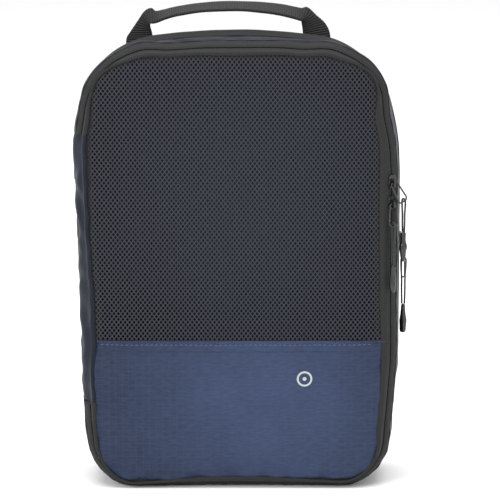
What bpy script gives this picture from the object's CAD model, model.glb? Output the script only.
import math

import bmesh
import bpy
from mathutils import Matrix, Vector, noise


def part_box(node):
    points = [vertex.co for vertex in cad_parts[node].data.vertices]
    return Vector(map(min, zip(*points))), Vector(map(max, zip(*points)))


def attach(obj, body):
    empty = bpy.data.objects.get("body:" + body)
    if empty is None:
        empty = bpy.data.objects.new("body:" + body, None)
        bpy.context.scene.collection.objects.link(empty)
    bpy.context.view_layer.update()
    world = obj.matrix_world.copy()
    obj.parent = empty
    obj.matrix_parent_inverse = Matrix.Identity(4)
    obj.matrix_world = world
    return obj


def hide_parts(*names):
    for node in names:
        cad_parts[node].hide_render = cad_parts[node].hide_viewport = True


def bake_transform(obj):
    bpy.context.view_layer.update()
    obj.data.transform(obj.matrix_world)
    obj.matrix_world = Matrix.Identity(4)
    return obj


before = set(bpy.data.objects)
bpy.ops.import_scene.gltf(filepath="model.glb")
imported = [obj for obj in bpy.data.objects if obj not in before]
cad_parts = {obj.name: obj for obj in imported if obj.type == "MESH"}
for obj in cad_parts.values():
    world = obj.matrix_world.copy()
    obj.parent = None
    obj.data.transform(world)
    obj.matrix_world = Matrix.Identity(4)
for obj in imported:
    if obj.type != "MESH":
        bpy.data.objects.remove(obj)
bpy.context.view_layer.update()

# A packing cube that stands on its base gusset, with its mesh lid to the front (-Y).
# Lengths in the dictionaries are in millimetres unless a note says otherwise.
mm = 0.001

studio = {
    "lookAt": (10.0, 0.0, 181.0),
    "distance": 2400.0,
    "elevation": 11.5,  # degrees
    "seen": 388.5,  # width of the view where the case stands
    "floorRadius": 30000.0,
    "worldLight": 0.9,
    # place, width and watts of each soft lamp
    "lamps": {
        "key": ((-1500, -1700, 1300), 900, 22),
        "fill": ((1100, -1900, 500), 1300, 5),
        "top": ((0, -300, 2300), 2200, 48),
    },
}


def makeStudio():
    scene = bpy.context.scene
    scene.view_settings.view_transform = "Standard"
    aim = Vector(studio["lookAt"]) * mm
    tilt = math.radians(studio["elevation"])
    away = Vector((0, -math.cos(tilt), math.sin(tilt))) * studio["distance"] * mm
    data = bpy.data.cameras.new("camera")
    data.sensor_width = 36.0
    data.lens = data.sensor_width * studio["distance"] / studio["seen"]
    data.clip_end = 100.0
    camera = bpy.data.objects.new("camera", data)
    camera.location = aim + away
    camera.rotation_euler = (math.pi / 2 - tilt, 0, 0)
    bpy.context.collection.objects.link(camera)
    scene.camera = camera
    for name, (place, size, watts) in studio["lamps"].items():
        data = bpy.data.lights.new(name, "AREA")
        data.shape = "DISK"
        data.size = size * mm
        data.energy = watts
        lamp = bpy.data.objects.new(name, data)
        lamp.location = Vector(place) * mm
        lamp.rotation_euler = (aim - lamp.location).to_track_quat("-Z", "Y").to_euler()
        bpy.context.collection.objects.link(lamp)
    world = bpy.data.worlds.new("studio")
    world.use_nodes = True
    background = world.node_tree.nodes["Background"]
    background.inputs["Color"].default_value = (1, 1, 1, 1)
    background.inputs["Strength"].default_value = studio["worldLight"]
    scene.world = world
    floor = bmesh.new()
    bmesh.ops.create_circle(floor, cap_ends=True, radius=studio["floorRadius"] * mm, segments=64)
    ground = newPiece("floor", floor)
    ground.data.materials.append(startMaterial("paleFloor", "#fafafa", 0.9)[0])


def srgb(code):
    channels = [int(code[k : k + 2], 16) / 255 for k in (1, 3, 5)]
    linear = [c / 12.92 if c <= 0.04045 else ((c + 0.055) / 1.055) ** 2.4 for c in channels]
    return (*linear, 1.0)


def smooth(value, low, high):
    share = min(1.0, max(0.0, (value - low) / (high - low)))
    return share * share * (3 - 2 * share)


def waves(x, y, z, size, height):
    return noise.noise(Vector((x, y, z)) / size) * height


def newPiece(name, mesh):
    data = bpy.data.meshes.new(name)
    mesh.to_mesh(data)
    mesh.free()
    for polygon in data.polygons:
        polygon.use_smooth = True
    piece = bpy.data.objects.new(name, data)
    bpy.context.collection.objects.link(piece)
    return piece


def thicken(piece, thickness):
    wall = piece.modifiers.new("thickness", "SOLIDIFY")
    wall.thickness = thickness * mm
    wall.offset = -1


def dress(piece, body, material, replaced=()):
    piece.data.materials.append(material)
    if replaced:
        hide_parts(*replaced)
    if body:
        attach(piece, body)


# Adds one node, with values or links for its inputs, and gives back one of its outputs
def addNode(tree, kind, inputs=None, out=0, **settings):
    node = tree.nodes.new("ShaderNode" + kind)
    for key, value in settings.items():
        setattr(node, key, value)
    for key, value in (inputs or {}).items():
        if isinstance(value, bpy.types.NodeSocket):
            tree.links.new(value, node.inputs[key])
        else:
            node.inputs[key].default_value = value
    return node.outputs[out]


def startMaterial(name, colour, roughness, **shaderValues):
    material = bpy.data.materials.new(name)
    material.use_nodes = True
    tree = material.node_tree
    shader = tree.nodes["Principled BSDF"]
    shader.inputs["Base Color"].default_value = srgb(colour)
    shader.inputs["Roughness"].default_value = roughness
    for key, value in shaderValues.items():
        shader.inputs[key.replace("_", " ")].default_value = value
    return material, tree, shader


# Thin threads every pitch across one coordinate: 1 on a thread, 0 between
def threadLines(tree, coordinate, pitch, width):
    cell = addNode(tree, "Math", {0: coordinate, 1: 1 / (pitch * mm)}, operation="MULTIPLY")
    turn = addNode(tree, "Math", {0: cell}, operation="FRACT")
    middle = addNode(tree, "Math", {0: turn, 1: 0.5}, operation="SUBTRACT")
    reach = addNode(tree, "Math", {0: middle}, operation="ABSOLUTE")
    edge = 0.5 - width / pitch / 2
    ends = {"Value": reach, "From Min": edge - 0.04, "From Max": edge + 0.04}
    return addNode(tree, "MapRange", ends, interpolation_type="SMOOTHSTEP")


# A smooth rib every pitch, from -1 to 1
def ribs(tree, coordinate, pitch):
    cell = addNode(tree, "Math", {0: coordinate, 1: 2 * math.pi / (pitch * mm)}, operation="MULTIPLY")
    return addNode(tree, "Math", {0: cell}, operation="SINE")


def ripstopNylon(name, colour, light, ripPitch=5.2):
    # Woven nylon with a coarser thread every few millimetres, which shows as a faint raised grid
    # with a soft sheen between. The plain weave is drawn at 0.9 mm, coarser than it is, to show.
    material, tree, shader = startMaterial(
        name, colour, 0.5, Sheen_Weight=0.03, Sheen_Roughness=0.4, Specular_IOR_Level=0.15
    )
    place = addNode(tree, "TexCoord", out=2)
    body = addNode(tree, "TexCoord", out=3)
    u = addNode(tree, "SeparateXYZ", {0: place}, out=0)
    v = addNode(tree, "SeparateXYZ", {0: place}, out=1)
    across, down = threadLines(tree, u, ripPitch, 0.5), threadLines(tree, v, ripPitch, 0.5)
    grid = addNode(tree, "Math", {0: across, 1: down}, operation="MAXIMUM")
    weft, warp = ribs(tree, u, 0.9), ribs(tree, v, 0.9)
    weave = addNode(tree, "Math", {0: weft, 1: warp}, operation="MULTIPLY")
    cloudy = addNode(tree, "TexNoise", {"Vector": body, "Scale": 26.0, "Detail": 4.0})
    flat = addNode(tree, "Mapping", {"Vector": place, "Scale": (0.22, 1.0, 1.0)})
    streaks = addNode(tree, "TexNoise", {"Vector": flat, "Scale": 700.0, "Detail": 2.0})
    tone = addNode(tree, "Math", {0: cloudy, 1: 0.5, 2: -0.05}, operation="MULTIPLY_ADD")
    tone = addNode(tree, "Math", {0: streaks, 1: 0.9, 2: tone}, operation="MULTIPLY_ADD")
    # The middle of the front is paler where it rubs
    middle = addNode(tree, "VectorMath", {0: body, 1: (0.024, -0.04, 0.068)}, out=1, operation="DISTANCE")
    rubbed = {"Value": middle, "From Min": 0.015, "From Max": 0.125, "To Min": 0.12, "To Max": -0.42}
    wear = addNode(tree, "MapRange", rubbed, interpolation_type="SMOOTHSTEP")
    tone = addNode(tree, "Math", {0: tone, 1: wear}, operation="ADD", use_clamp=True)
    shade = addNode(tree, "Mix", {0: tone, 6: srgb(colour), 7: srgb(light)}, out=2, data_type="RGBA")
    faint = addNode(tree, "Math", {0: grid, 1: 0.3}, operation="MULTIPLY")
    shade = addNode(tree, "Mix", {0: faint, 6: shade, 7: srgb(light)}, out=2, data_type="RGBA")
    tree.links.new(shade, shader.inputs["Base Color"])
    height = addNode(tree, "Math", {0: weave, 1: 0.3, 2: grid}, operation="MULTIPLY_ADD")
    height = addNode(tree, "Math", {0: streaks, 1: 0.8, 2: height}, operation="MULTIPLY_ADD")
    raised = addNode(tree, "Bump", {"Strength": 0.5, "Distance": 0.14 * mm, "Height": height})
    tree.links.new(raised, shader.inputs["Normal"])
    return material


def wovenTape(name, colour, light, ribPitch, ribDepth, ribReach):
    # Polyester tape: a fine matt weave, with the coil's turns showing through it as ribs near its
    # working edge, which lies at v = 0.
    material, tree, shader = startMaterial(
        name, colour, 0.68, Sheen_Weight=0.03, Sheen_Roughness=0.45, Specular_IOR_Level=0.18
    )
    place = addNode(tree, "TexCoord", out=2)
    body = addNode(tree, "TexCoord", out=3)
    u = addNode(tree, "SeparateXYZ", {0: place}, out=0)
    v = addNode(tree, "SeparateXYZ", {0: place}, out=1)
    near, far = (ribReach - 0.6) * mm, (ribReach + 0.6) * mm
    fading = {"Value": v, "From Min": near, "From Max": far, "To Min": 1.0, "To Max": 0.12}
    mask = addNode(tree, "MapRange", fading)
    turns = addNode(tree, "Math", {0: ribs(tree, u, ribPitch), 1: mask}, operation="MULTIPLY")
    weft, warp = ribs(tree, u, 0.8), ribs(tree, v, 0.7)
    weave = addNode(tree, "Math", {0: weft, 1: warp}, operation="MULTIPLY")
    fibres = addNode(tree, "TexNoise", {"Vector": body, "Scale": 900.0, "Detail": 3.0, "Roughness": 0.7})
    tone = addNode(tree, "Math", {0: fibres, 1: 0.8}, operation="MULTIPLY")
    tone = addNode(tree, "Math", {0: turns, 1: 0.3, 2: tone}, operation="MULTIPLY_ADD")
    shade = addNode(tree, "Mix", {0: tone, 6: srgb(colour), 7: srgb(light)}, out=2, data_type="RGBA")
    tree.links.new(shade, shader.inputs["Base Color"])
    height = addNode(tree, "Math", {0: weave, 1: 0.25, 2: turns}, operation="MULTIPLY_ADD")
    height = addNode(tree, "Math", {0: fibres, 1: 0.6, 2: height}, operation="MULTIPLY_ADD")
    raised = addNode(tree, "Bump", {"Strength": 0.7, "Distance": ribDepth * mm, "Height": height})
    tree.links.new(raised, shader.inputs["Normal"])
    return material


def ribbedWebbing(name, colour, light):
    # Nylon webbing: raised ribs across its length, broken by the warp threads, slightly shiny.
    material, tree, shader = startMaterial(
        name, colour, 0.58, Sheen_Weight=0.03, Sheen_Roughness=0.4, Specular_IOR_Level=0.2
    )
    place = addNode(tree, "TexCoord", out=2)
    u = addNode(tree, "SeparateXYZ", {0: place}, out=0)
    v = addNode(tree, "SeparateXYZ", {0: place}, out=1)
    across, warp = ribs(tree, u, 1.75), ribs(tree, v, 1.25)
    fibres = addNode(tree, "TexNoise", {"Vector": place, "Scale": 1100.0, "Detail": 3.0, "Roughness": 0.7})
    tone = addNode(tree, "Math", {0: across, 1: 0.35, 2: fibres}, operation="MULTIPLY_ADD")
    shade = addNode(tree, "Mix", {0: tone, 6: srgb(colour), 7: srgb(light)}, out=2, data_type="RGBA")
    tree.links.new(shade, shader.inputs["Base Color"])
    height = addNode(tree, "Math", {0: warp, 1: 0.3, 2: across}, operation="MULTIPLY_ADD")
    height = addNode(tree, "Math", {0: fibres, 1: 0.6, 2: height}, operation="MULTIPLY_ADD")
    raised = addNode(tree, "Bump", {"Strength": 0.9, "Distance": 0.3 * mm, "Height": height})
    tree.links.new(raised, shader.inputs["Normal"])
    return material


# Grainy finishes: one noise in the body's space moves both the colour and the surface
def grainy(name, colour, light, roughness, grain, depth, **shaderValues):
    material, tree, shader = startMaterial(name, colour, roughness, **shaderValues)
    body = addNode(tree, "TexCoord", out=3)
    speckle = addNode(tree, "TexNoise", {"Vector": body, "Scale": 1 / (grain * mm), "Detail": 3.0})
    shade = addNode(tree, "Mix", {0: speckle, 6: srgb(colour), 7: srgb(light)}, out=2, data_type="RGBA")
    tree.links.new(shade, shader.inputs["Base Color"])
    raised = addNode(tree, "Bump", {"Strength": 0.6, "Distance": depth * mm, "Height": speckle})
    tree.links.new(raised, shader.inputs["Normal"])
    return material


def paintedZinc(name, colour, worn):
    # Die-cast zinc and wire under black paint: a low gloss, thinner and paler where it rubs.
    material, tree, shader = startMaterial(name, colour, 0.32, Coat_Weight=0.3, Coat_Roughness=0.2)
    body = addNode(tree, "TexCoord", out=3)
    speckle = addNode(tree, "TexNoise", {"Vector": body, "Scale": 700.0, "Detail": 4.0, "Roughness": 0.6})
    wear = addNode(tree, "MapRange", {"Value": speckle, "From Min": 0.56, "From Max": 0.7})
    shade = addNode(tree, "Mix", {0: wear, 6: srgb(colour), 7: srgb(worn)}, out=2, data_type="RGBA")
    tree.links.new(shade, shader.inputs["Base Color"])
    raised = addNode(tree, "Bump", {"Strength": 0.4, "Distance": 0.06 * mm, "Height": speckle})
    tree.links.new(raised, shader.inputs["Normal"])
    return material


def braidedCord(name, colour, light):
    # Polyester braid: two sets of strands that cross along the cord.
    material, tree, shader = startMaterial(name, colour, 0.5, Sheen_Weight=0.2, Specular_IOR_Level=0.4)
    body = addNode(tree, "TexCoord", out=3)
    up = addNode(tree, "SeparateXYZ", {0: body}, out=2)
    side = addNode(tree, "SeparateXYZ", {0: body}, out=0)
    rising, falling = ribs(tree, up, 1.2), ribs(tree, side, 1.1)
    strands = addNode(tree, "Math", {0: rising, 1: falling}, operation="MULTIPLY")
    tone = addNode(tree, "Math", {0: strands, 1: 0.4, 2: 0.4}, operation="MULTIPLY_ADD")
    shade = addNode(tree, "Mix", {0: tone, 6: srgb(colour), 7: srgb(light)}, out=2, data_type="RGBA")
    tree.links.new(shade, shader.inputs["Base Color"])
    raised = addNode(tree, "Bump", {"Strength": 0.7, "Distance": 0.12 * mm, "Height": strands})
    tree.links.new(raised, shader.inputs["Normal"])
    return material


def makeMaterials():
    return {
        "ripstop": ripstopNylon("navyRipstopNylon", "#1f2739", "#36425e"),
        "gusset": ripstopNylon("navyGussetNylon", "#11151f", "#1c2231"),
        "lining": ripstopNylon("navyTaffetaLining", "#12161f", "#1c212d"),
        # Warp-knitted polyester, matt, with a faint fibre grain along its strands
        "mesh": grainy(
            "charcoalKnittedMesh", "#28282c", "#3c3d42", 0.62, 0.8, 0.12, Specular_IOR_Level=0.15
        ),
        "tape": wovenTape("blackZipTape", "#1f1f20", "#2d2d2e", 1.6, 0.2, 3.2),
        "binding": wovenTape("blackGrosgrainBinding", "#202022", "#2c2c2e", 1.2, 0.12, 12.0),
        "webbing": ribbedWebbing("blackNylonWebbing", "#181818", "#2e2e2e"),
        # Moulded nylon filament, smooth with a dull shine
        "coil": grainy("blackNylonCoil", "#161618", "#222224", 0.4, 0.7, 0.05),
        "metal": paintedZinc("blackPaintedZinc", "#0b0b0c", "#323234"),
        "cord": braidedCord("blackBraidedCord", "#0d0d0e", "#1c1c1e"),
        # Heat-shrunk tube, glossy, lumpy where the knot inside pushes it out
        "sleeve": grainy(
            "blackShrinkSleeve", "#0b0b0d", "#151518", 0.28, 2.2, 0.5, Coat_Weight=0.25, Coat_Roughness=0.08
        ),
        # A pale film pressed on the cloth, which takes the weave through it
        "print": grainy("paleTransferPrint", "#9b9fa1", "#aeb2b3", 0.5, 0.7, 0.05),
        # Bonded polyester thread, a shade lighter than the cloth
        "thread": grainy("blueSewingThread", "#3a4a6b", "#53648a", 0.5, 0.5, 0.08),
    }


# The case's outline, seen from the front: a foot, two sides and an arched top
outline = {
    "halfWidth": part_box("compression_tape_rear")[1][0] / mm,
    "crown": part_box("compression_tape_rear")[1][2] / mm + 1.6,
    "crownRadius": 440.0,
    "footIn": 9.0,  # the foot's corner is this far in from the widest line
    "shoulderIn": 12.3,
    "shoulderDrop": 12.5,
    "footRadius": 42.0,
    "shoulderRadius": 69.0,
    "rightSlump": 2.6,  # the right shoulder has sunk in by this much
    "leftSlump": 3.4,  # and the left side, towards the foot
    "rearDrop": 0.24,  # how fast the top falls away behind the compression zip
    "frontDrop": 2.6,  # the compression tape rolls down to the front here, and the gusset rises again
    "sideLow": 68.0,  # the plain side panel's ends
    "sideHigh": 278.0,
    "compressionHigh": 238.0,  # the compression zip runs further down the left side
}

# How far the front wall stands out beyond its seams, and how far the lid's inner edge stands out
# more than that, at heights up the right side, across the top, and down the left side
frontSwell = {
    "right": [
        (22, 1.4, 4.0), (50, 1.0, 2.4), (100, 0.5, 1.4), (150, 0.0, 0.0), (230, 0.0, -0.9),
        (290, -0.2, 1.2), (325, 6.2, 7.0),
    ],
    "top": [(80, 4.4, 3.3), (45, 0.6, 3.4), (0, -0.8, 2.7), (-45, 0.0, 3.6), (-80, 3.8, 3.3)],
    "left": [
        (325, 4.8, 7.0), (290, 1.6, 4.0), (230, 0.6, 3.8), (120, 0.5, 1.3), (80, 1.5, 3.1),
        (50, 2.5, 4.5), (22, 2.6, 4.4),
    ],
    "foot": (0.0, 0.6),
}


def arcPoints(before, here, after, radius, count=24):
    back = (before - here).normalized()
    on = (after - here).normalized()
    half = back.angle(on) / 2
    centre = here + (back + on).normalized() * radius / math.sin(half)
    start = here + back * radius / math.tan(half) - centre
    end = here + on * radius / math.tan(half) - centre
    return [centre + start.slerp(end, k / count) * radius for k in range(count + 1)]


def makeOutline():
    half, crown = outline["halfWidth"], outline["crown"]
    right = [
        (half - outline["footIn"], 0.0, outline["footRadius"]),
        (half, 100.0, 300.0),
        (half, 272.0, 120.0),
        (half - outline["shoulderIn"], crown - outline["shoulderDrop"], outline["shoulderRadius"]),
    ]
    left = [(-x, z, r) for x, z, r in reversed(right)]
    corners = right + [(0.0, crown, outline["crownRadius"])] + left
    points = [Vector((0, 0))]
    for k, (x, z, radius) in enumerate(corners):
        before = Vector(corners[k - 1][:2])
        after = Vector(corners[(k + 1) % len(corners)][:2])
        points += arcPoints(before, Vector((x, z)), after, radius)
    points.append(Vector((0, 0)))
    lengths = [0.0]
    for a, b in zip(points, points[1:]):
        lengths.append(lengths[-1] + (b - a).length)
    return points, lengths


outlinePoints, outlineLengths = makeOutline()
around = outlineLengths[-1]


# The point at a distance round the outline from the middle of the foot, up the right side first
def outlineAt(along):
    along = along % around
    low, high = 0, len(outlineLengths) - 1
    while high - low > 1:
        middle = (low + high) // 2
        if outlineLengths[middle] <= along:
            low = middle
        else:
            high = middle
    share = (along - outlineLengths[low]) / (outlineLengths[high] - outlineLengths[low])
    return outlinePoints[low].lerp(outlinePoints[high], share)


def outwardAt(along):
    run = outlineAt(along + 1.5) - outlineAt(along - 1.5)
    return Vector((run.y, -run.x)).normalized()


def alongAtHeight(height, side):
    low, high = (0.0, around / 2) if side > 0 else (around / 2, around)
    for _ in range(40):
        middle = (low + high) / 2
        if (outlineAt(middle).y > height) == (side > 0):
            high = middle
        else:
            low = middle
    return low


swellSpots = [(0.0, *frontSwell["foot"])]
swellSpots += [(alongAtHeight(z, 1), wall, edge) for z, wall, edge in frontSwell["right"]]
swellSpots += [(around / 2 - x, wall, edge) for x, wall, edge in frontSwell["top"]]
swellSpots += [(alongAtHeight(z, -1), wall, edge) for z, wall, edge in frontSwell["left"]]
swellSpots += [(around, *frontSwell["foot"])]


def swellAt(along):
    along = along % around
    for (a, wallA, edgeA), (b, wallB, edgeB) in zip(swellSpots, swellSpots[1:]):
        if along <= b:
            share = smooth(along, a, b)
            return wallA + (wallB - wallA) * share, edgeA + (edgeB - edgeA) * share
    return swellSpots[-1][1:]


# A point of the case's wall: in from the outline by inset, or up by floor at the foot
def skinPoint(along, inset, floor, y):
    point, out = outlineAt(along), outwardAt(along)
    wall, edge = swellAt(along)
    swell = wall * smooth(-y, 3, 28) + edge * smooth(inset, 8, 15)
    lift = floor if out.y < 0 else inset
    x = point.x - out.x * (inset - swell)
    z = point.y - out.y * (lift - swell)
    x -= outline["rightSlump"] * smooth(z, 235, 300) * smooth(x, 40, 110)
    x += outline["leftSlump"] * (1 - smooth(z, 110, 260)) * smooth(-x, 40, 110)
    z -= outline["rearDrop"] * max(0.0, y - 5) * smooth(z, 290, 335)
    z -= outline["frontDrop"] * smooth(-y, -2, 6) * (1 - smooth(-y, 10, 26)) * smooth(z, 320, 345)
    return Vector((x, y, max(0.0, z))) * mm


zipStart = alongAtHeight(outline["sideLow"], -1) - around
zipEnd = alongAtHeight(outline["sideHigh"], -1)
compressionEnd = alongAtHeight(outline["compressionHigh"], -1)


# A smooth curve through rows of numbers, with place from 0 to 1
def smoothRow(rows, place):
    last = len(rows) - 1
    k = min(int(place * last), last - 1)
    t = place * last - k
    p0, p1, p2, p3 = (Vector(rows[max(0, min(last, k + d))]) for d in (-1, 0, 1, 2))
    squared = (2 * p0 - 5 * p1 + 4 * p2 - p3) * t**2
    cubed = (3 * p1 - 3 * p2 + p3 - p0) * t**3
    return 0.5 * (2 * p1 + (p2 - p0) * t + squared + cubed)


# Turns every face away from the middle of the case
def faceOut(mesh, centre=(0, 0, 178)):
    middle = Vector(centre) * mm
    mesh.normal_update()
    outward = sum((f.calc_center_median() - middle).normalized().dot(f.normal) for f in mesh.faces)
    if outward < 0:
        bmesh.ops.reverse_faces(mesh, faces=mesh.faces)
    mesh.normal_update()


# A strip of cloth round the case, whose section is a smooth curve through the stations
def makeBand(
    name, start, end, stations, thickness, step=3.0, rows=6, bulge=0.0,
    ripple=0.0, pucker=0.0, fold=18.0, whole=False,
):
    columns = round((end - start) / step)
    width = sum(math.hypot(b[0] - a[0], b[2] - a[2]) for a, b in zip(stations, stations[1:]))
    mesh = bmesh.new()
    uvLayer = mesh.loops.layers.uv.new("UVMap")
    bmesh.ops.create_grid(mesh, x_segments=columns, y_segments=rows, size=0.5, calc_uvs=True)
    for face in mesh.faces:
        for corner in face.loops:
            u, v = corner.vert.co.x + 0.5, corner.vert.co.y + 0.5
            corner[uvLayer].uv = (u * (end - start) * mm, v * width * mm)
    for vertex in mesh.verts:
        along = start + (vertex.co.x + 0.5) * (end - start)
        across = vertex.co.y + 0.5
        inset, floor, y = smoothRow(stations, across)
        middle = across * 2 - 1
        swell = bulge * (1 - middle * middle)
        swell += waves(along, y * 1.6, 0, fold, ripple) * (1 - middle**4)
        swell += waves(along, y, 50, 7, pucker) * abs(middle) ** 3
        vertex.co = skinPoint(along, inset - swell, floor - swell, y)
    if whole:
        bmesh.ops.remove_doubles(mesh, verts=mesh.verts, dist=0.00002)
    faceOut(mesh)
    piece = newPiece(name, mesh)
    thicken(piece, thickness)
    return piece


zips = {
    "tapeThick": 0.5,
    "clothThick": 0.6,
    # Each strip's section, as in from the outline, up from the floor, and y; tapes start at their
    # working edge
    "lidTape": [
        (8.5, 4.5, -34.5), (9.3, 5.1, -36.0), (11.4, 6.6, -38.1), (13.6, 8.2, -39.3), (15.8, 9.6, -39.2),
        (16.6, 10.2, -38.3),
    ],
    "bodyTape": [(7.9, 4.0, -34.1), (6.4, 2.9, -33.0), (4.6, 1.5, -30.8), (3.0, 0.4, -27.8)],
    "frontGusset": [(3.2, 0.5, -29.0), (2.4, 0.1, -21.0), (1.6, 0.0, -12.0), (0.9, 0.0, -5.4)],
    "frontCompression": [(0.2, 0.0, 3.85), (0.0, 0.0, 1.5), (0.0, 0.0, -1.5), (0.5, 0.0, -6.0)],
    "rearCompression": [(0.2, 0.0, 4.15), (0.0, 0.0, 6.0), (0.3, 0.0, 9.0), (0.8, 0.0, 12.0)],
    "rearGusset": [(1.0, 0.0, 11.4), (1.0, 0.0, 20.0), (1.9, 0.0, 29.0), (3.4, 0.6, 36.4), (5.4, 2.2, 38.7)],
}


def makeZips(materials):
    tapes = (
        ("lid_zip_tape", "lid", "lidTape", "main_tape_lid", zipEnd, 12, 0.3),
        ("body_zip_tape", "front_shell", "bodyTape", "main_tape_body", zipEnd, 7, 0.5),
        (
            "front_compression_tape", "front_shell", "frontCompression",
            "compression_tape_front", compressionEnd, 6, 0.3,
        ),
        (
            "rear_compression_tape", "rear_shell", "rearCompression",
            "compression_tape_rear", compressionEnd, 6, 0.3,
        ),
    )
    for name, body, stations, node, end, rows, ripple in tapes:
        piece = makeBand(
            name, zipStart, end, zips[stations], zips["tapeThick"], rows=rows, ripple=ripple, pucker=0.2
        )
        dress(piece, body, materials["tape"], [node])
    for name, body, stations, node in (
        ("front_gusset_cloth", "front_shell", "frontGusset", "front_gusset"),
        ("rear_gusset_cloth", "rear_shell", "rearGusset", "rear_gusset"),
    ):
        piece = makeBand(
            name, zipStart, zipEnd, zips[stations], zips["clothThick"],
            rows=12, bulge=0.5, ripple=1.3, pucker=0.8,
        )
        dress(piece, body, materials["gusset"], [node])


# The reversed coils, under the edge of each tape: a ridge for each turn
coils = {
    "pitch": 2.0,
    "depth": 1.3,
    "lid_coil": ("lid", (8.7, 4.7, -34.0), (10.6, 6.1, -35.4), "main_coil_lid"),
    "body_coil": ("front_shell", (8.1, 4.3, -33.0), (6.8, 3.4, -31.2), "main_coil_body"),
    "front_compression_coil": (
        "front_shell", (0.95, 0.9, 3.75), (0.95, 0.9, 1.9), "compression_coil_front"
    ),
    "rear_compression_coil": ("rear_shell", (0.95, 0.9, 4.25), (0.95, 0.9, 6.1), "compression_coil_rear"),
}


def makeCoils(materials):
    for name, (body, edge, back, node) in [item for item in coils.items() if isinstance(item[1], tuple)]:
        end = zipEnd if "compression" not in name else compressionEnd
        turns = round((end - zipStart) / coils["pitch"])
        mesh = bmesh.new()
        bmesh.ops.create_grid(mesh, x_segments=turns * 4, y_segments=4, size=0.5)
        for vertex in mesh.verts:
            share, across = vertex.co.x + 0.5, vertex.co.y + 0.5
            ridge = 0.675 + 0.325 * math.cos(2 * math.pi * share * turns)
            depth = coils["depth"] * math.sin(math.pi * min(1.0, across * 1.15)) * ridge
            inset, floor, y = (p + (q - p) * across for p, q in zip(edge, back))
            vertex.co = skinPoint(zipStart + share * (end - zipStart), inset + depth, floor + depth, y)
        faceOut(mesh)
        bmesh.ops.reverse_faces(mesh, faces=mesh.faces)
        dress(newPiece(name, mesh), body, materials["coil"], [node])


# The plain cloth on the left that both zips stop at; it bends at the lid and at the fold
sidePanel = {
    "margin": 2.0,  # it runs in under the zips' ends
    "front": [
        (16.2, 9.8, -38.1), (15.6, 9.4, -39.1), (13.0, 7.8, -39.2), (10.4, 6.0, -37.0),
        (6.8, 3.2, -33.2), (4.0, 1.2, -28.6), (2.8, 0.4, -23.0), (2.3, 0.2, -18.0),
    ],
    "rear": [
        (2.3, 0.2, -18.0), (1.8, 0.0, -8.0), (1.4, 0.0, 4.0), (1.4, 0.0, 16.0),
        (2.0, 0.0, 28.0), (3.4, 0.6, 36.4), (5.4, 2.2, 38.7),
    ],
    "thick": 0.6,
}


def makeSidePanel(materials):
    start, end = zipEnd - sidePanel["margin"], zipStart + around + sidePanel["margin"]
    piece = makeBand(
        "side_panel_front_cloth", start, end, sidePanel["front"], sidePanel["thick"],
        step=2.2, rows=20, ripple=2.4, pucker=0.8, fold=15.0,
    )
    dress(piece, None, materials["gusset"], ["side_panel_front"])
    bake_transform(piece)
    piece = makeBand(
        "side_panel_rear_cloth", start, end, sidePanel["rear"], sidePanel["thick"],
        step=2.5, rows=18, ripple=1.8, pucker=0.8,
    )
    dress(piece, None, materials["gusset"], ["side_panel_rear"])
    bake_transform(piece)


# The folded expansion cloth and the tapes bound over the seams inside
inside = {
    "expansion": [
        (1.9, 1.9, -2.4), (5.6, 4.9, 0.6), (10.2, 8.2, 3.6),
        (10.2, 8.2, 4.6), (5.6, 4.9, 7.6), (1.9, 1.9, 10.4),
    ],
    "liningThick": 0.4,
    "step": 4.0,
    "frontSeam": [(4.6, 1.6, -27.8), (6.6, 3.4, -27.2), (6.6, 3.4, -24.6), (4.4, 1.4, -24.2)],
    "backSeam": [(4.8, 1.4, 34.4), (7.4, 3.6, 34.8), (7.6, 3.8, 37.2), (5.4, 2.2, 37.6)],
    "lidSeam": [(15.4, 9.4, -37.4), (16.4, 10.2, -36.7), (19.4, 13.0, -36.7), (20.4, 13.8, -37.5)],
}


def makeInside(materials):
    thick, step = inside["liningThick"], inside["step"]
    piece = makeBand(
        "expansion_cloth", zipStart, zipEnd, inside["expansion"], thick,
        step=step, rows=12, ripple=0.5,
    )
    dress(piece, None, materials["lining"], ["expansion_gusset"])
    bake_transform(piece)
    for name, body, stations, node, whole in (
        ("front_seam_tape", "front_shell", "frontSeam", "front_seam_binding", False),
        ("back_seam_tape", "rear_shell", "backSeam", "back_seam_binding", True),
        ("lid_seam_tape", "lid", "lidSeam", "lid_seam_binding", True),
    ):
        start, end = (0.0, around) if whole else (zipStart, zipEnd)
        piece = makeBand(
            name, start, end, inside[stations], thick,
            step=step, rows=6, ripple=0.3, whole=whole,
        )
        dress(piece, body, materials["binding"], [node])


# A flat panel's edge: how far in each side lies at a height, and the foot and top at a distance
# across. distanceIn gives how far inside its seam a point is, below 0 outside it.
class Cut:
    def __init__(self, inset, floor, y):
        spots = [skinPoint(around * k / 900, inset, floor, y) / mm for k in range(900)]
        self.right = self.table([(p.z, p.x) for p in spots if p.x > 0])
        self.left = self.table([(p.z, p.x) for p in spots if p.x < 0])
        self.top = self.table([(p.x, p.z) for p in spots if p.z > 178])
        self.foot = self.table([(p.x, p.z) for p in spots if p.z < 178])

    def table(self, pairs):
        pairs = sorted(pairs)
        values, k = {}, 0
        for place in range(-140, 361):
            while k < len(pairs) - 2 and pairs[k + 1][0] < place:
                k += 1
            (a, valueA), (b, valueB) = pairs[k], pairs[k + 1]
            share = min(1.0, max(0.0, (place - a) / (b - a))) if b > a else 0.0
            values[place] = valueA + (valueB - valueA) * share
        return values

    def read(self, values, place):
        low = int(math.floor(place))
        return values[low] + (values[low + 1] - values[low]) * (place - low)

    def distanceIn(self, x, z):
        if abs(x) > 138 or not 0 <= z < 359:
            return -1.0
        sides = min(x - self.read(self.left, z), self.read(self.right, z) - x)
        return min(sides, self.read(self.top, x) - z, z - self.read(self.foot, x))


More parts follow.
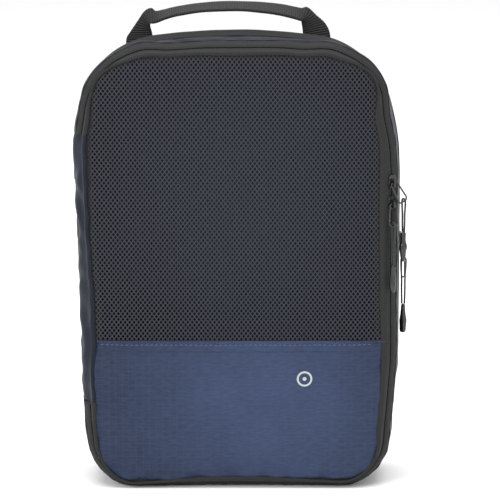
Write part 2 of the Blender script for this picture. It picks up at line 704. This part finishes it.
lid = {
    "cut": Cut(12.6, 7.4, -38.0),
    "face": -36.9,  # at the seam; the cloth swells forward from there
    "swell": 3.5,
    "swellReach": 13.0,
    "baseTop": 117.0,
    "hemWidth": 9.0,
    "stitchPitch": 3.8,
    "stitchLength": 2.7,
    "stitchDown": 3.2,
    "meshPitchX": 3.43,
    "meshPitchZ": 4.42,
    "strand": 0.84,
    "holeRound": 0.34,
}


def lidDepth(x, z, inside):
    crown = 1 - math.exp(-max(0.0, inside) / lid["swellReach"])
    soft = waves(x, z, 0, 62, 1.6) + waves(x, z, 30, 25, 0.5)
    return lid["face"] - (lid["swell"] + soft) * crown


# The base panel's cloth: smooth in the middle, gathered along its seams and slack to the right
def baseDepth(x, z):
    inside = lid["cut"].distanceIn(x, z)
    near = math.exp(-max(0.0, inside - 3) / 8)
    gathers = near * waves(x * 0.6, z * 0.6, 5, 6.5, 2.4)
    hem = math.exp(-max(0.0, lid["baseTop"] - z) / 12) * waves(x, 0, 13, 11, 0.5)
    slack = waves(x * 0.9 + z * 0.5, z * 0.35, 60, 15, 3.4) * smooth(x, 66, 98) * smooth(inside, 1, 8)
    slack += waves(x * 0.4, z, 80, 9, 0.9) * (1 - smooth(z, 8, 34)) * smooth(inside, 2, 8)
    return lidDepth(x, z, inside) - 0.35 + gathers + hem + slack


# Moves a rim point on to the outline it was cut to, so that the edge is smooth, not stepped
def ontoEdge(cut, place, low, high, step):
    start = place.copy()
    for _ in range(4):
        x, z = place.x, place.z
        across = cut.distanceIn(x + 0.5, z) - cut.distanceIn(x - 0.5, z)
        if z <= low + 0.01 or z >= high - 0.01:  # a cut end stays at its height
            slope = Vector((across, 0, 0))
        else:
            slope = Vector((across, 0, cut.distanceIn(x, z + 0.5) - cut.distanceIn(x, z - 0.5)))
        gap = cut.distanceIn(x, z)
        if slope.length < 0.3 or slope.length > 3 or abs(gap) > 2.5 * step:
            return place
        moved = place - slope.normalized() * gap / slope.length
        if (moved - start).length > 1.6 * step:
            return place
        place = moved
    return place


# A flat piece of cloth between two heights, cut back to where it runs in under the tape
def cutPanel(cut, depth, low, high, step):
    half = 124.0
    mesh = bmesh.new()
    uvLayer = mesh.loops.layers.uv.new("UVMap")
    columns, rows = round(2 * half / step), round((high - low) / step)
    bmesh.ops.create_grid(mesh, x_segments=columns, y_segments=rows, size=0.5)
    for vertex in mesh.verts:
        vertex.co = Vector((vertex.co.x * 2 * half, 0, low + (vertex.co.y + 0.5) * (high - low)))
    middles = [(f, f.calc_center_median()) for f in mesh.faces]
    outside = [f for f, middle in middles if cut.distanceIn(middle.x, middle.z) < 0]
    bmesh.ops.delete(mesh, geom=outside, context="FACES")
    for vertex in [v for v in mesh.verts if any(e.is_boundary for e in v.link_edges)]:
        vertex.co = ontoEdge(cut, vertex.co, low, high, step)
    area = sum(f.calc_area() for f in mesh.faces)
    for face in mesh.faces:
        for corner in face.loops:
            corner[uvLayer].uv = (corner.vert.co.x * mm, corner.vert.co.z * mm)
    for vertex in mesh.verts:
        vertex.co = Vector((vertex.co.x, depth(vertex.co.x, vertex.co.z), vertex.co.z)) * mm
    faceOut(mesh)
    return mesh, area * mm * mm


def makeLidFace(materials):
    mesh, area = cutPanel(lid["cut"], baseDepth, 6.0, lid["baseTop"], 1.8)
    piece = newPiece("base_panel_cloth", mesh)
    thicken(piece, 0.5)
    dress(piece, "lid", materials["ripstop"], ["base_panel"])
    makeHem(materials)
    print("base panel ready")
    makeNet(materials)
    makeBadge(materials)


# The base panel's top edge, folded forward and stitched down
def makeHem(materials):
    high = lid["baseTop"] + 1.0
    low = high - lid["hemWidth"]
    line = high - lid["stitchDown"]

    def hemDepth(x, z):
        share = (z - low) / (high - low)
        dent = math.exp(-(((z - line) / 0.9) ** 2)) * 0.35
        roll = 0.5 * smooth(share, 0.0, 0.12) + 0.3 * smooth(share, 0.7, 0.88)
        roll -= 0.7 * smooth(share, 0.93, 1.0)
        return baseDepth(x, min(z, lid["baseTop"])) - roll + dent + waves(x, z * 0.4, 70, 3.9, 0.2)

    mesh, area = cutPanel(lid["cut"], hemDepth, low, high, 0.9)
    piece = newPiece("base_hem_cloth", mesh)
    thicken(piece, 0.4)
    hem = piece
    dress(hem, "lid", materials["ripstop"], ["base_panel_hem"])
    pitch, long, thick = lid["stitchPitch"], lid["stitchLength"], 0.3
    mesh = bmesh.new()
    for k in range(-29, 30):
        x, z = k * pitch - 1.0, line + waves(k * pitch, 0, 0, 30, 0.25)
        if lid["cut"].distanceIn(abs(x) + long, z) < 3.5 or lid["cut"].distanceIn(-abs(x) - long, z) < 3.5:
            continue
        made = bmesh.ops.create_uvsphere(mesh, u_segments=8, v_segments=6, radius=thick)
        shape = Matrix.Diagonal((long / 2 / thick, 0.8, 1.0, 1.0))
        place = Matrix.Translation((x, hemDepth(x, z) - 0.16, z))
        bmesh.ops.transform(mesh, matrix=Matrix.Scale(mm, 4) @ place @ shape, verts=made["verts"])
    dress(newPiece("hem_stitches", mesh), "lid", materials["thread"])
    return hem


# The mesh: a diamond net with every hole cut out of the cloth
def makeNet(materials):
    stepX, stepZ = lid["meshPitchX"] / 2, lid["meshPitchZ"] / 2
    low, high = lid["baseTop"] - 3.0, 350.0
    middle, half = (low + high) / 2, 118.0
    count = 2 * int(((high - low) / 2 / stepZ + half / stepX) / 2) + 4
    mesh = bmesh.new()
    bmesh.ops.create_grid(mesh, x_segments=count, y_segments=count, size=0.5)
    for vertex in mesh.verts:
        a, b = vertex.co.x * count, vertex.co.y * count
        vertex.co = Vector(((a - b) * stepX, 0, middle + (a + b) * stepZ))
    far = [v for v in mesh.verts if not low < v.co.z < high or lid["cut"].distanceIn(v.co.x, v.co.z) < -0.5]
    bmesh.ops.delete(mesh, geom=far, context="VERTS")
    crossings = list(mesh.verts)
    holes = list(mesh.faces)
    bmesh.ops.inset_individual(mesh, faces=holes, thickness=lid["strand"] / 2, use_even_offset=True)
    bmesh.ops.delete(mesh, geom=holes, context="FACES_ONLY")
    known = set(crossings)
    corners = [v for v in mesh.verts if v not in known and any(e.is_boundary for e in v.link_edges)]
    bmesh.ops.bevel(
        mesh, geom=corners, offset=lid["holeRound"], offset_type="OFFSET",
        segments=1, profile=0.5, affect="VERTICES", material=-1,
    )
    area = sum(f.calc_area() for f in mesh.faces)
    for vertex in mesh.verts:
        x, z = vertex.co.x, vertex.co.z
        rim = any(e.is_boundary for e in vertex.link_edges)
        y = lidDepth(x, z, lid["cut"].distanceIn(x, z)) + (0.22 if rim else -0.12)
        vertex.co = Vector((x, y, z)) * mm
    faceOut(mesh)
    piece = newPiece("mesh_panel_net", mesh)
    print("net triangles", sum(len(p.vertices) - 2 for p in piece.data.polygons))
    # The flat area is the cut's, less its holes
    dress(piece, "lid", materials["mesh"], ["mesh_panel"])


badge = {"ring": 1.5, "dot": 1.5, "proud": 0.2}


# A plain printed ring with a dot in it
def makeBadge(materials):
    low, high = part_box("badge")
    x, z = (low[0] + high[0]) / 2 / mm, (low[2] + high[2]) / 2 / mm
    outer = (high[0] - low[0]) / 2 / mm
    mesh = bmesh.new()
    edges = []
    for radius in (outer, outer - badge["ring"]):
        made = bmesh.ops.create_circle(mesh, cap_ends=False, radius=radius, segments=64)
        edges += {e for v in made["verts"] for e in v.link_edges}
    bmesh.ops.bridge_loops(mesh, edges=edges)
    bmesh.ops.create_circle(mesh, cap_ends=True, radius=badge["dot"], segments=32)
    for vertex in mesh.verts:
        px, pz = x + vertex.co.x, z + vertex.co.y
        vertex.co = Vector((px, baseDepth(px, pz) - badge["proud"], pz)) * mm
    faceOut(mesh)
    dress(newPiece("printed_ring", mesh), "lid", materials["print"], ["badge"])


back = {"cut": Cut(5.0, 2.0, 38.4), "face": 38.5, "swell": 1.2}


def makeBack(materials):
    def backDepth(x, z):
        crown = 1 - math.exp(-max(0.0, back["cut"].distanceIn(x, z)) / 18)
        return back["face"] + (back["swell"] + waves(x, z, 90, 55, 1.6) + waves(x, z, 95, 20, 0.5)) * crown

    mesh, area = cutPanel(back["cut"], backDepth, 1.0, 352.0, 2.5)
    piece = newPiece("back_panel_cloth", mesh)
    thicken(piece, 0.6)
    dress(piece, "rear_shell", materials["ripstop"], ["back_panel"])


handle = {
    "thick": 1.9,
    "wide": 20.0,
    "ribPitch": 1.75,
    # The webbing's outer edge, which becomes the back edge of the grip, from left to right
    "outerEdge": [
        (-85.6, 12.5, 341.0), (-84.9, 12.5, 345.8), (-81.8, 12.6, 350.6), (-76.0, 12.9, 358.9),
        (-70.9, 13.4, 365.6),
        (-66.4, 14.6, 367.6), (-63.0, 18.2, 364.6), (-56.5, 21.4, 365.2), (-47.0, 22.4, 367.4),
        (-31.0, 22.5, 369.9),
        (-14.0, 22.5, 371.4), (3.0, 22.5, 371.7), (19.0, 22.5, 371.0), (33.0, 22.4, 369.6),
        (44.0, 21.6, 367.6),
        (50.0, 18.0, 367.0), (54.5, 14.4, 368.3), (61.0, 13.2, 362.8), (67.6, 12.8, 357.0),
        (71.4, 12.5, 349.6), (72.2, 12.5, 341.0),
    ],
    # Its inner edge, which becomes the front edge of the grip
    "innerEdge": [
        (-65.2, 12.5, 341.0), (-65.0, 12.4, 346.4), (-65.8, 12.0, 350.6), (-67.0, 10.8, 354.6),
        (-67.0, 8.4, 356.6),
        (-64.8, 5.6, 357.4), (-61.0, 3.9, 358.8), (-55.0, 3.4, 361.4), (-46.0, 3.2, 364.0),
        (-31.0, 3.1, 366.4),
        (-14.0, 3.1, 367.6), (3.0, 3.1, 367.8), (19.0, 3.1, 366.4), (33.0, 3.2, 364.4), (43.0, 3.7, 361.8),
        (48.6, 5.6, 359.8), (50.2, 8.4, 358.4), (50.0, 10.6, 356.4), (50.4, 12.0, 352.2),
        (50.9, 12.4, 346.4), (51.2, 12.5, 341.0),
    ],
}


def makeHandle(materials):
    outer, inner = handle["outerEdge"], handle["innerEdge"]
    middles = [(smoothRow(outer, k / 300) + smoothRow(inner, k / 300)) / 2 for k in range(301)]
    runs = [0.0]
    for a, b in zip(middles, middles[1:]):
        runs.append(runs[-1] + (b - a).length)
    columns = round(runs[-1] / handle["ribPitch"] * 4)
    mesh = bmesh.new()
    uvLayer = mesh.loops.layers.uv.new("UVMap")
    bmesh.ops.create_grid(mesh, x_segments=columns, y_segments=10, size=0.5, calc_uvs=True)
    for face in mesh.faces:
        for corner in face.loops:
            u, v = corner.vert.co.x + 0.5, corner.vert.co.y + 0.5
            corner[uvLayer].uv = (u * runs[-1] * mm, v * handle["wide"] * mm)
    for vertex in mesh.verts:
        u, v = vertex.co.x + 0.5, vertex.co.y + 0.5
        run = u * runs[-1]
        k = max(j for j in range(300) if runs[j] <= run + 1e-6)
        place = (k + (run - runs[k]) / (runs[k + 1] - runs[k])) / 300
        vertex.co = smoothRow(outer, place).lerp(smoothRow(inner, place), v)
    mesh.normal_update()
    for vertex in mesh.verts:
        vertex.co += vertex.normal * waves(vertex.co.x, vertex.co.y, vertex.co.z, 16, 0.3)
    bmesh.ops.scale(mesh, vec=(mm, mm, mm), verts=mesh.verts)
    faceOut(mesh, (-7, 12.5, 350))
    piece = newPiece("handle_webbing", mesh)
    thicken(piece, handle["thick"])
    piece.modifiers["thickness"].offset = 0
    dress(piece, None, materials["webbing"], ["carry_handle", "handle_anchors"])
    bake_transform(piece)


pulls = {
    "diameter": 1.5,
    # Each cord's route from its sleeve, over the puller's bar and back
    "routes": {
        "upper": [
            (127.91, -35.92, 202.06), (128.13, -36.19, 209.02),
            (128.04, -36.08, 215.98), (128.48, -36.62, 222.70),
            (128.54, -36.70, 228.06), (126.02, -33.59, 228.06),
            (126.09, -33.67, 222.46), (126.50, -34.17, 215.74),
            (126.40, -34.06, 209.26), (126.65, -34.37, 202.06),
        ],
        "lower": [
            (120.04, -40.49, 177.41), (120.26, -40.76, 186.25),
            (120.16, -40.65, 195.10), (120.60, -41.19, 203.64),
            (120.66, -41.27, 209.91), (118.15, -38.16, 209.91),
            (118.21, -38.24, 203.33), (118.62, -38.74, 194.79),
            (118.52, -38.63, 186.56), (118.78, -38.94, 177.41),
        ],
        "compression": [
            (130.55, 4.0, 137.54), (130.90, 4.0, 147.69), (130.75, 4.0, 157.84), (131.45, 4.0, 167.64),
            (131.55, 4.0, 174.54), (127.55, 4.0, 174.54), (127.65, 4.0, 167.29), (128.30, 4.0, 157.49),
            (128.15, 4.0, 148.04), (128.55, 4.0, 137.54),
        ],
    },
    "lengths": {"upper": 53.5, "lower": 66.5, "compression": 75.5},
    # The sleeve's radius at shares of its length, for each pull
    "sleeves": {
        "upper": [
            (0.0, 1.9), (0.05, 2.1), (0.2, 2.0), (0.3, 2.1), (0.42, 2.9),
            (0.5, 3.1), (0.6, 2.7), (0.7, 2.2), (0.84, 2.0), (0.95, 1.6),
        ],
        "lower": [
            (0.0, 1.7), (0.06, 1.9), (0.3, 2.0), (0.45, 2.2), (0.6, 2.6), (0.72, 2.5), (0.84, 2.3), (0.96, 1.5),
        ],
        "compression": [
            (0.0, 1.5), (0.08, 1.7), (0.25, 1.9), (0.42, 2.5),
            (0.55, 3.0), (0.7, 2.9), (0.86, 2.7), (0.97, 1.9),
        ],
    },
    "tail": 12.0,  # the loop left below the upper sleeve
}


def makeCord(name, sleeve, materials):
    route = [Vector(place) * mm for place in pulls["routes"][name]]
    data = bpy.data.curves.new(name + "_cord", "CURVE")
    data.dimensions = "3D"
    data.bevel_depth = pulls["diameter"] / 2 * mm
    data.bevel_resolution = 3
    data.resolution_u = 10
    data.use_fill_caps = True
    line = data.splines.new("NURBS")
    line.points.add(len(route) - 1)
    for point, place in zip(line.points, route):
        point.co = (*place, 1.0)
    line.order_u = 3
    line.use_endpoint_u = True
    piece = bpy.data.objects.new(name + "_cord", data)
    bpy.context.collection.objects.link(piece)
    dress(piece, name + "_pull", materials["cord"], [name + "_pull_cord"])


# A turned tube, then pushed about where the knot lies inside it
def makeSleeve(name, materials):
    low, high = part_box(name + "_pull_sleeve")
    x, y, top = (low[0] + high[0]) / 2, (low[1] + high[1]) / 2, high[2]
    tail = pulls["tail"] if name == "upper" else 0.0
    length = (top - low[2]) / mm - max(0.0, tail - 2.2)
    mesh = bmesh.new()
    rim = [mesh.verts.new((radius, 0, -share * length)) for share, radius in pulls["sleeves"][name]]
    edges = [mesh.edges.new(pair) for pair in zip(rim, rim[1:])]
    bmesh.ops.spin(
        mesh, geom=rim + edges, axis=(0, 0, 1), cent=(0, 0, 0), angle=2 * math.pi, steps=20, use_merge=True
    )
    bmesh.ops.remove_doubles(mesh, verts=mesh.verts, dist=0.01)
    bmesh.ops.holes_fill(mesh, edges=[e for e in mesh.edges if e.is_boundary], sides=0)
    for vertex in mesh.verts:
        share = -vertex.co.z / length
        flat = Vector((vertex.co.x, vertex.co.y, 0))
        if flat.length > 0.1:
            lump = waves(vertex.co.x, vertex.co.y, vertex.co.z + 9 * len(name), 3.4, 0.9)
            vertex.co += flat.normalized() * lump * smooth(share, 0.1, 0.5)
    if tail:
        addTail(mesh, length, tail)
    bmesh.ops.recalc_face_normals(mesh, faces=mesh.faces)
    bmesh.ops.scale(mesh, vec=(mm, mm, mm), verts=mesh.verts)
    bmesh.ops.translate(mesh, vec=(x, y, top), verts=mesh.verts)
    piece = newPiece(name + "_sleeve", mesh)
    rounding = piece.modifiers.new("rounding", "SUBSURF")
    rounding.levels = rounding.render_levels = 1
    dress(piece, name + "_pull", materials["sleeve"], [name + "_pull_sleeve"])
    return piece


# Draws a ring of edges up or down by rise, and gives back the new ring
def growTail(mesh, loop, rise):
    grown = bmesh.ops.extrude_edge_only(mesh, edges=loop)["geom"]
    moved = [g for g in grown if isinstance(g, bmesh.types.BMVert)]
    bmesh.ops.translate(mesh, vec=(0, 0, rise), verts=moved)
    return [g for g in grown if isinstance(g, bmesh.types.BMEdge)]


# The short loop of cord that comes out below the sleeve: down, round and up again
def addTail(mesh, length, tail):
    spread, radius = 1.15, pulls["diameter"] / 2 - 0.1
    ring = bmesh.ops.create_circle(mesh, cap_ends=False, radius=radius, segments=10)["verts"]
    bmesh.ops.translate(mesh, vec=(-spread, 0, 1.5 - length), verts=ring)
    loop = list({e for v in ring for e in v.link_edges})
    loop = growTail(mesh, loop, 1.0 - tail)
    foot = (0, 0, 2.5 - length - tail)
    turned = bmesh.ops.spin(mesh, geom=loop, axis=(0, -1, 0), cent=foot, angle=math.pi, steps=10)["geom_last"]
    growTail(mesh, [g for g in turned if isinstance(g, bmesh.types.BMEdge)], tail - 1.0)


def makePulls(materials):
    for name in pulls["routes"]:
        makeCord(name, makeSleeve(name, materials), materials)
        for node in (name + "_slider", name + "_puller"):
            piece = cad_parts[node]
            piece.data.materials.clear()
            piece.data.materials.append(materials["metal"])


makeStudio()
materials = makeMaterials()
print("studio and materials ready")
makePulls(materials)
print("pulls ready")
makeZips(materials)
makeCoils(materials)
print("zips ready")
makeSidePanel(materials)
makeInside(materials)
print("side panel and seams ready")
makeLidFace(materials)
makeBack(materials)
print("panels ready")
makeHandle(materials)
print("handle ready")
